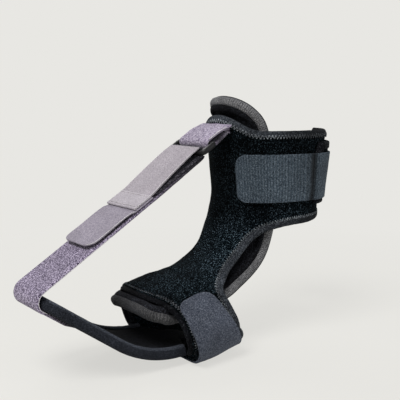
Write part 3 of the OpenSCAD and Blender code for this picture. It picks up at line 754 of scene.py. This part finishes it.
def tab_rows(edges, u0, u1, corner):
    """Rows of a strap whose free end, at u0, has rounded corners."""
    v = np.linspace(0, 1, 21)
    w = np.clip((np.abs(2 * v - 1) - 0.55) / 0.45, 0, 1)
    return stack(edges[0] + (edges[1] - edges[0]) * v,
                 u0 + corner * (1 - np.sqrt(np.maximum(0, 1 - w * w))), u1 + 0 * v)


def hook_relief(s, u, p):
    """Rows of small hooks."""
    down, across = walk(p, 0), walk(p, 1)
    return 0.3 * np.abs(np.sin(down * 2.1) * np.sin(across * 2.1))


def hook_patch(name, rows, width, body, node):
    obj = panel(name, rows, width, lambda s, u: SLACK + PATCH_T / 2, PATCH_T - 0.24, 0.75,
                follow=False, inner_relief=hook_relief, smoothing=False)
    dress(obj, body, HOOKS, "hook", node)


def calf_strap():
    """One strap from the lateral side round the back of the leg; its tab peels at the crease."""
    level = lambda s, u: (np.where(u > CREASE_U, wing_lift(u) + SLACK, step_down(u, 10))
                          + STRAP_T / 2 - 2.3 * np.exp(-((u - CREASE_U - 0.5) / 2.4) ** 2))
    rows = tab_rows(STRAP_S, TAB_U, CALF_STRAP_END, 10)
    strap = panel("calf_strap_webbing", rows, 185, level, STRAP_T, 1.6, follow=False,
                  smoothing=False, relief=grained(0.025))
    bend = ("calf_wing", "calf_tab", skin(2.3, CREASE_U + 5, 4), skin(2.3, CREASE_U - 5, 4))
    dress(strap, bend, WEBBING, "grey_webbing", "calf_strap", "calf_tab")
    inset = (STRAP_S[0] + 0.06, STRAP_S[1] - 0.06)
    hook_patch("calf_hook_tape", tab_rows(inset, TAB_U + 3, TAB_U + 42, 9), 32, "calf_tab",
               "calf_hook_patch")


# ---- foot strap
FOOT_S, FOOT_TAB_U, FOOT_STRAP_END = (6.02, 7.88), 48 - 360, -56


def foot_strap():
    level = lambda s, u: (np.where(u > CREASE_U, lap(u) + SLACK, step_down(u, 14))
                          + STRAP_T / 2)
    rows = tab_rows(FOOT_S, FOOT_TAB_U, FOOT_STRAP_END, 9)
    strap = panel("foot_strap_webbing", rows, 215, level, STRAP_T, 1.6, follow=False,
                  smoothing=False, relief=grained(0.025))
    hinge, lean = skin(6.95, CREASE_U, 4), np.array([0, 0.6, 0.8])
    bend = ("wrap", "foot_tab", hinge - 4 * lean, hinge + 4 * lean)
    dress(strap, bend, FOOT_WEBBING, "grey_webbing", "foot_strap", "foot_tab")
    inset = (FOOT_S[0] + 0.1, FOOT_S[1] - 0.1)
    hook_patch("foot_hook_tape", tab_rows(inset, FOOT_TAB_U + 4, FOOT_TAB_U + 30, 8), 26,
               "foot_tab", "foot_hook_patch")


# ---- toe plate
PLATE_Z, BEND_X, REAR_L, HINGE_L, REAR_HALF = -SOLE + COVER_T + 0.9, 104, -29, 5, 18
BEND_L = BEND_R * math.radians(PLATE_SLOPE)
TIP_L = BEND_L + 60


def plate(l, h):
    """Side line of the plate: l runs along its underside from the bend's start, h above it."""
    l, h = np.broadcast_arrays(np.asarray(l, float), h)
    a = np.clip(l / BEND_R, 0, math.radians(PLATE_SLOPE))
    ahead = np.where(l <= 0, l, np.maximum(l - BEND_L, 0))
    x = BEND_X + (BEND_R - h) * np.sin(a) + ahead * np.cos(a)
    z = PLATE_Z + BEND_R - (BEND_R - h) * np.cos(a) + ahead * np.sin(a)
    return x, z


def plate_point(l, y, h):
    x, z = plate(l, h)
    return stack(x, y + 0 * x, z)


def plate_outline(inset, tip_cut):
    """Half width of the plate at distances l, from its rear end to its tip."""
    l = np.concatenate([np.linspace(REAR_L, -4, 12), np.linspace(-2, TIP_L - 20, 50),
                        TIP_L - tip_cut - 20 * np.cos(np.linspace(0, math.pi / 2, 22))])
    wide = np.interp(l, [REAR_L, REAR_L + 8, -16, -9, TIP_L - 58, TIP_L - 18, TIP_L],
                     [10, REAR_HALF, REAR_HALF, PLATE_HALF - 1, PLATE_HALF, TIP_HALF, TIP_HALF - 1])
    near = np.clip((l - (TIP_L - tip_cut - 13)) / 13, 0, 1)
    wide = wide - 13 * (1 - np.sqrt(1 - near ** 2))
    return l, wide - inset


def plate_panel(name, inset, cut, low, high, swell=0.0):
    """A layer of the plate between two heights above its underside."""
    l, wide = plate_outline(inset, cut)
    y = np.linspace(-1, 1, 45)
    yy = wide[:, None] * np.sign(y) * (1 - (1 - np.abs(y)) ** 1.25)
    ll = np.repeat(l[:, None], len(y), 1)
    middle = plate_point(ll, yy, (low + high) / 2)
    share = rounded(middle, (high - low) * 0.6, least=0.15)
    crown = (swell * np.sqrt(np.clip(1 - y ** 2, 0, 1))[None]
             * np.clip((TIP_L - l) / 12, 0, 1)[:, None])
    half = (high - low) / 2 * share
    uv = stack(ll, yy)
    return cloth_grid(name, plate_point(ll, yy, (low + high) / 2 + half + crown),
                      plate_point(ll, yy, (low + high) / 2 - half), uv)


def toe_plate():
    """The plate's base, pad, rim and a lip of lighter tape that paints a highlight; the boards
    inside are the CAD's.
    """
    bend = ("wrap", "toe_plate", plate_point(HINGE_L - 5, 0, 0), plate_point(HINGE_L + 6, 0, 0))
    base = plate_panel("toe_plate_base", 1.2, 2, 0.0, 2.4)
    dress(base, bend, LINING, "lining", "toe_base", "sole_base")
    pad = plate_panel("toe_plate_pad", 4.6, 5, 3.2, 5.4, swell=0.5)
    puff(pad, 0.6)
    dress(pad, bend, LINER, "plate_pad", "toe_pad", "sole_pad")
    l, wide = plate_outline(3.2, 3.0)
    l, wide = l[l > -7], wide[l > -7]
    line = np.concatenate([stack(l, -wide), stack(l, wide)[::-1]])
    p = plate_point(*line.T, 4.0)
    reach = reached(p)
    at = np.linspace(0, reach[-1], int(reach[-1] / 1.2))
    p = sample(at, reach, p)
    q = sample(at, reach, line)
    n = unit(plate_point(*q.T, 5.0) - plate_point(*q.T, 4.0))
    m = unit(np.cross(unit(np.gradient(p, axis=0)), n))
    rim = sweep("toe_plate_rim", p, m, n, at, oval(3.1, 3.2, 16, (0.2, -0.6)))
    dress(rim, bend, RIM_TAPE, "tape", "toe_binding")
    # The lip carries a painted highlight along the rim's top.
    lip = sweep("toe_plate_lip_highlight", p, m, n, at, oval(2.3, 1.3, 12, (-0.9, 2.7)))
    dress(lip, bend, HIGHLIGHT_TAPE, "tape")


# ---- traction strap
LOOP_W, LOOP_T = STRAP_W - 3, STRAP_T + 0.3
ANCHOR_L, RETURN_L = 34, 66
FOLD_L, FOLD_H = 46, 6.4
TAB_T = 1.5
INNER_R = FOLD_H + 0.1 + STRAP_T / 2
OUTER_R = INNER_R + STRAP_T + 0.1
TURN_R = BAR_R + 0.2 + STRAP_T / 2
RUN_Z = -TURN_R - STRAP_T - 0.2
TAB_Z = RUN_Z + STRAP_T / 2 + 0.1 + TAB_T / 2

anchor_p = np.array([skin(1.0, 0, 0)[0], SHIN_H - 0.5])
fold_c = np.array([float(c) for c in plate(TIP_L - 6, FOLD_H)])
bar_p = anchor_p + ANCHOR_L * unit(fold_c + [6, 5] - anchor_p)
span = fold_c - bar_p
run_angle = (math.atan2(-span[1], span[0])
             - math.asin((OUTER_R - RUN_Z) / float(np.linalg.norm(span))))
DOWN = np.array([math.cos(run_angle), -math.sin(run_angle)])
OUT = np.array([math.sin(run_angle), math.cos(run_angle)])


def at_ring(points):
    """From [along the strap, outwards] of the ring's lower bar to x and z."""
    points = np.asarray(points, float)
    return bar_p + points[..., :1] * DOWN + points[..., 1:] * OUT


def arc(c, r, a0, a1, steps):
    a = np.radians(np.linspace(a0, a1, steps + 1))
    return stack(c[0] + r * np.cos(a), c[1] + r * np.sin(a))


def point3(p, y=0.0):
    return np.array([p[0], y, p[1]])


def strip(name, line, half_width, thick=STRAP_T, step=1.5, relief=0.02, curl=None):
    """A strap whose side line is a list of [x, z] points. half_width is a function of the distance
    from its start and the whole length."""
    reach = reached(line)
    at = reach[-1] * spaced(reach[-1], step)
    dense = sample(at, reach, line)
    d = unit(np.gradient(dense, at, axis=0))
    n = stack(-d[:, 1], d[:, 0])
    wide = half_width(at, reach[-1])
    y = 2 * spaced(STRAP_W, step) - 1
    yy = wide[:, None] * y
    lift = curl(at[:, None], yy) if curl else 0 * yy
    flat = dense[:, None] + n[:, None] * lift[..., None]
    middle = stack(flat[..., 0], yy, flat[..., 1])
    h = (rounded(middle, thick * 0.55) * thick / 2)[..., None]
    normal = stack(n[:, 0], 0 * at, n[:, 1])[:, None]
    rough = rounded(middle, 1.5)[..., None] * grain(yy.shape, relief)[..., None]
    uv = stack(at[:, None] + 0 * yy, yy)
    return cloth_grid(name, middle + normal * (h + rough), middle - normal * h, uv)


def plain(width):
    return lambda at, length: width / 2 + 0 * at


def round_end(width, r):
    """Rounds the corners of a strap's far end."""
    def half(at, length):
        x = np.clip((at - (length - r)) / r, 0, 1)
        return width / 2 - r * (1 - np.sqrt(1 - x ** 2))
    return half


def curve(points):
    return drawn(points, 12 * (len(points) - 1) + 1)


def edge_line(name, line, y, body, lift, radius=0.32, slot="return_webbing"):
    """The pale selvedge along one side of a strap, y of the distance and the length beside it."""
    reach = reached(line)
    at = np.linspace(0, reach[-1], max(4, int(reach[-1] / 1.5)))
    p2 = sample(at, reach, line)
    d = unit(np.gradient(p2, axis=0))
    n = stack(-d[:, 1], 0 * at, d[:, 0])
    p = stack(p2[:, 0], y(at, reach[-1]), p2[:, 1]) + n * lift
    dress(thread(name, p, n, radius), body, EDGE_LIGHT, slot)


def traction_strap():
    """From under the plate round its tip and up to the ring, where its end curls away."""
    a0 = -90 + PLATE_SLOPE
    l = np.linspace(TIP_L - 38, TIP_L - 7, 20)
    under = stack(*plate(l, 1.7 * smooth((TIP_L - 29 - l) / 9) - STRAP_T / 2 - 0.1))
    turn = arc(fold_c, INNER_R + 0.5, a0 + 6, 90 - math.degrees(run_angle), 16)
    curled = at_ring(arc((1.5, 0), -RUN_Z, 270, 232, 6))
    run = turn[-1] + np.linspace(0.1, 1, 40)[:, None] * (curled[0] - turn[-1])
    line = np.concatenate([under, turn, run, curled[1:]])
    narrow = lambda at, length: (STRAP_W / 2 - 10 * smooth((32 - at) / 26)
                                 - (STRAP_W - LOOP_W) / 2 * smooth((at - length + 45) / 45))
    strap = strip("traction_strap_loop", line, narrow, LOOP_T, relief=0.07)
    bend = ("toe_plate", "strap_run", point3(fold_c + 7 * np.array([0.5, -0.86])),
            point3(fold_c + 9 * OUT - 3 * DOWN))
    reach = float(reached(line)[-1])
    # The run is darkened with painted shade at its end by the ring, under the return layer, and at
    # its start under the plate.
    run_loop = cloth(
        "lavender_run_strap", [(0.018, 0.01, 0.03), (0.16, 0.132, 0.205), (0.52, 0.46, 0.6)],
        1.0, (0.38, 0.49, 0.64), patch=0.16, sheen=0.2, bump=1.1, tint=(0.9, 0.85, 1.0),
        shade=[(0, reach - 8, 84, 0.96), (0, 0, 36, 0.88)])
    dress(strap, bend, run_loop, "loop_webbing", "strap_run", "strap_toe_end")
    for side, label in SIDES:
        edge_line(f"run_selvedge_{label}", line[18:-32],
                  lambda at, length: side * STRAP_W / 2 + 0 * at, bend, 0.5, 0.3, "loop_webbing")


def gathered(l):
    """Half the strap's width, which the ring gathers at its bar."""
    return LOOP_W / 2 + (STRAP_W - LOOP_W) / 2 * np.clip(l / 60, 0, 1)


def strap_head():
    """The fold round the ring's lower bar, the return layer and the hook tab."""
    fold_line = np.concatenate([[[FOLD_L, -TURN_R], [20, -TURN_R], [4, -TURN_R]],
                                arc((0, 0), TURN_R, 270, 92, 20)])
    # The fold is painted near-black as painted shade under the return layer.
    fold = strip("ring_fold_strap", at_ring(fold_line),
                 lambda at, length: gathered(np.clip(FOLD_L - at, 0, 60)), relief=0.06)
    dress(fold, "strap_fold", SHADED_LOOP, "loop_webbing", "strap_fold")

    line = at_ring(curve([[-1.2, TURN_R + 0.15], [4.2, TURN_R + 0.2], [12, TURN_R - 0.3],
                          [26, 1.4], [40, -0.3], [50, TAB_Z + 1.85],
                          [RETURN_L - 0.4, TAB_Z + 1.75]]))
    back = strip("return_strap", line, lambda at, length: gathered(at))
    hinge = at_ring([3.9, TURN_R + STRAP_T / 2])
    bend = ("strap_fold", "strap_return", point3(hinge - 3.5 * DOWN), point3(hinge + 3.5 * DOWN))
    dress(back, bend, PALE, "return_webbing", "strap_return")
    for side, label in SIDES:
        edge_line(f"return_selvedge_{label}", line[16:],
                  lambda at, length: side * (gathered(at + 7) - 0.1), "strap_return", 0.55)

    band_line = curve([[50.5, TAB_Z + 1.85], [58, TAB_Z + 1.8], [RETURN_L + 0.3, TAB_Z + 1.75]])
    band = strip("return_sewn_band", at_ring(band_line), plain(STRAP_W + 0.1), LOOP_T)
    dress(band, "strap_return", PALE_BAND, "return_webbing")
    for x in (52.5, 64.2):
        y = np.linspace(-STRAP_W / 2 + 1.5, STRAP_W / 2 - 1.5, 60)
        dash = 0.14 * np.abs(np.sin(y * math.pi / 2.6))
        base = at_ring(stack(x + 0 * y, TAB_Z + 1.8 + STRAP_T / 2 + 0.2 + dash))
        seam = thread(f"band_stitches_{x:.0f}", stack(base[:, 0], y, base[:, 1]),
                      np.tile(point3(OUT), (len(y), 1)), 0.28)
        dress(seam, "strap_return", PALE_THREAD, "return_webbing")

    tab_line = curve([[50, TAB_Z], [RETURN_L - 0.4, TAB_Z], [70, TAB_Z + 1.1], [78, TAB_Z + 1.4],
                      [94, TAB_Z + 1.2], [102, TAB_Z + 1.3], [107.6, TAB_Z + 2.0]])
    line = at_ring(tab_line)
    shape = round_end(STRAP_W, 8)
    curl = lambda at, y: (0.25 * np.sin(at / 9) * np.abs(2 * y / STRAP_W) ** 2
                          * np.clip((at - 25) / 10, 0, 1))
    tab = strip("hook_tab_webbing", line, shape, TAB_T, curl=curl)
    hinge = at_ring([RETURN_L, TAB_Z + TAB_T / 2])
    bend = ("strap_return", "hook_tab", point3(hinge - 3 * DOWN), point3(hinge + 3 * DOWN))
    dress(tab, bend, TAB, "hook_webbing", "tab_root", "hook_tab")
    for side, label in SIDES:
        edge_line(f"hook_tab_selvedge_{label}", line[14:],
                  lambda at, length: side * (shape(at, length) - 0.15), "hook_tab", 0.3)
    hook_line = at_ring([q - [0, 1.06] for q in tab_line if q[0] > 72])
    hooks = strip("hook_tab_hooks", hook_line, round_end(STRAP_W - 4, 9), 0.6, 0.8, 0.12)
    dress(hooks, "hook_tab", HOOKS, "hook", "hook_tab_patch")


def anchor():
    """The anchor strap's loop round the ring's upper bar and its patch on the shin."""
    rising = curve([[-ANCHOR_L + 0.2, 1.0], [8 - ANCHOR_L, 2.5], [14 - ANCHOR_L, TURN_R + 0.1],
                    [-BAR_GAP, TURN_R]])
    line = np.concatenate([rising, arc((-BAR_GAP, 0), TURN_R, 90, -90, 16)[1:],
                           [[11 - ANCHOR_L, -2.2], [6 - ANCHOR_L, -1.7]]])
    loop = strip("anchor_loop_strap", at_ring(line), plain(LOOP_W), LOOP_T, relief=0.07)
    edge_line("anchor_selvedge", at_ring(line[8:37]), lambda at, length: LOOP_W / 2 + 0.1 + 0 * at,
              "anchor_loop", 0.7, 0.42, "loop_webbing")
    # The loop's lower layer, under the upper one and the ring, is darkened with painted shade.
    anchor_painted_shade_cloth = cloth("lavender_anchor_strap", **LOOP_CLOTH,
                      shade=[(0, 41, 11, 0.9), (0, 54, 15, 0.95)])
    bend = ("wrap", "anchor_loop", point3(anchor_p), point3(anchor_p + 6 * DOWN))
    dress(loop, bend, anchor_painted_shade_cloth, "loop_webbing", "anchor_loop")
    patch = panel("anchor_patch_strap", [[s, -15, 15] for s in (1.0, 1.05, 1.1, 1.15)], 24,
                  lambda s, u: SLACK + 0.6, 1.1, 1.2, relief=grained(0.06))
    dress(patch, "wrap", LAVENDER, "loop_webbing", "anchor_patch")


def ring():
    """A moulded two-bar ring with rounded corners."""
    side_y, half_x, r = LOOP_W / 2 + 3.6, BAR_GAP / 2, 2.2
    loop = np.concatenate([
        arc((x - math.copysign(r, x), y * (side_y - r)), r, a, a + 90, 6)
        for x, y, a in ((half_x, 1, 0), (-half_x, 1, 90), (-half_x, -1, 180), (half_x, -1, 270))])
    dense = []
    for a, b in zip(loop, np.roll(loop, -1, axis=0)):
        steps = max(1, int(np.linalg.norm(b - a) / 1.5))
        dense += [a + (b - a) * k / steps for k in range(steps)]
    dense = np.array(dense)
    base = at_ring(stack(dense[:, 0] - half_x, 0 * dense[:, 0]))
    p = stack(base[:, 0], dense[:, 1], base[:, 1])
    d = unit(np.roll(p, -1, axis=0) - np.roll(p, 1, axis=0))
    n = np.tile(point3(OUT), (len(p), 1))
    obj = sweep("ring_frame", p, unit(np.cross(d, n)), n, reached(p), oval(BAR_R, BAR_R),
                closed=True, relief=0)
    dress(obj, "ring", RING_BLACK, "ring_plastic", "ring")


# ---- stage
AMBIENT = 0.45              # how bright the world that lights the object is
PALE_BACKDROP = (0.807, 0.799, 0.768)


def pale_world(pale):
    """The camera sees a pale backdrop, and the object is lit by a dimmer one."""
    world = bpy.data.worlds.new("studio")
    world.use_nodes = True
    tree = world.node_tree
    tree.nodes.clear()
    sight = add_node(tree, "LightPath").outputs["Is Camera Ray"]
    strength = remap(tree, sight, (0, 1), (AMBIENT, 1))
    glow = add_node(tree, "Background", {"Color": (*pale, 1), "Strength": strength})
    add_node(tree, "OutputWorld", {"Surface": glow.outputs[0]})
    return world


def floor_paper(pale):
    """Pale paper that takes a soft shadow near the object and meets the backdrop further away."""
    mat, tree = shader("floor_paper")
    place = add_node(tree, "TexCoord").outputs["Object"]
    flat = add_node(tree, "VectorMath", {0: place, 1: (1, 1, 0)}, operation="MULTIPLY")
    away = add_node(tree, "VectorMath", {0: flat.outputs[0]}, operation="LENGTH")
    near = remap(tree, away.outputs["Value"], (0.2, 0.5), (0.78, 1))
    sight = add_node(tree, "LightPath").outputs["Is Camera Ray"]
    paper = add_node(tree, "BsdfDiffuse", {"Color": (*[c * 0.9 for c in pale], 1)})
    glow = add_node(tree, "Emission", {"Color": (*pale, 1)})
    share = maths(tree, "MULTIPLY", near, sight)
    mix = add_node(tree, "MixShader", {0: share, 1: paper.outputs[0], 2: glow.outputs[0]})
    add_node(tree, "OutputMaterial", {"Surface": mix.outputs[0]})
    return mat


def area(name, place, size, power, colour):
    """A soft round lamp that looks at the object."""
    light = bpy.data.lights.new(name, "AREA")
    light.shape = "DISK"
    light.size, light.energy, light.color = size, power, colour
    obj = new_object(name, light)
    obj.location = place
    away = Vector(place) - Vector((0.06, 0, 0))
    obj.rotation_euler = away.to_track_quat("Z", "Y").to_euler()


def stage():
    """The photo's camera, soft lamps, backdrop and floor."""
    turn, rise = math.radians(36), math.radians(8)
    back = Vector((math.sin(turn) * math.cos(rise), math.cos(turn) * math.cos(rise),
                   math.sin(rise)))
    right = Vector((-math.cos(turn), math.sin(turn), 0))
    camera = new_object("camera", bpy.data.cameras.new("camera"))
    camera.data.lens, camera.data.sensor_width = 67.5, 36
    camera.location = (0.3867, 0.4479, 0.1152)
    camera.rotation_euler = Matrix((right, back.cross(right), back)).transposed().to_euler()
    bpy.context.scene.camera = camera

    area("key", (0.75, 0.35, 1.0), 0.6, 13, (1.0, 0.99, 0.97))
    area("fill", (-0.5, 1.0, 0.45), 0.9, 3, (0.95, 0.97, 1.0))
    area("back", (-0.2, -1.0, 0.8), 0.8, 5, (1.0, 1.0, 1.0))
    scene.world = pale_world(PALE_BACKDROP)
    floor_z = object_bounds()[0][2] - 0.0003
    floor = bpy.data.meshes.new("floor")
    floor.from_pydata([(x, y, floor_z) for x, y in ((-6, -6), (6, -6), (6, 6), (-6, 6))], [],
                      [(0, 1, 2, 3)])
    floor.materials.append(floor_paper(PALE_BACKDROP))
    new_object("floor", floor)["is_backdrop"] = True
    scene.view_settings.view_transform = "Standard"


for node, material in (("dorsal_shell", SHELL_BLACK), ("toe_board", BOARD), ("sole_board", BOARD)):
    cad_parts[node].data.materials.clear()
    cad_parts[node].data.materials.append(material)

outer_cover()
inner_lining()
liner()
edge_tapes()
calf_wing()
calf_strap()
foot_strap()
toe_plate()
traction_strap()
strap_head()
anchor()
ring()
stage()

as_lists = lambda box: [[float(c) for c in corner] for corner in box]
{"cad": as_lists(cad_box), "visual": as_lists(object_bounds())}
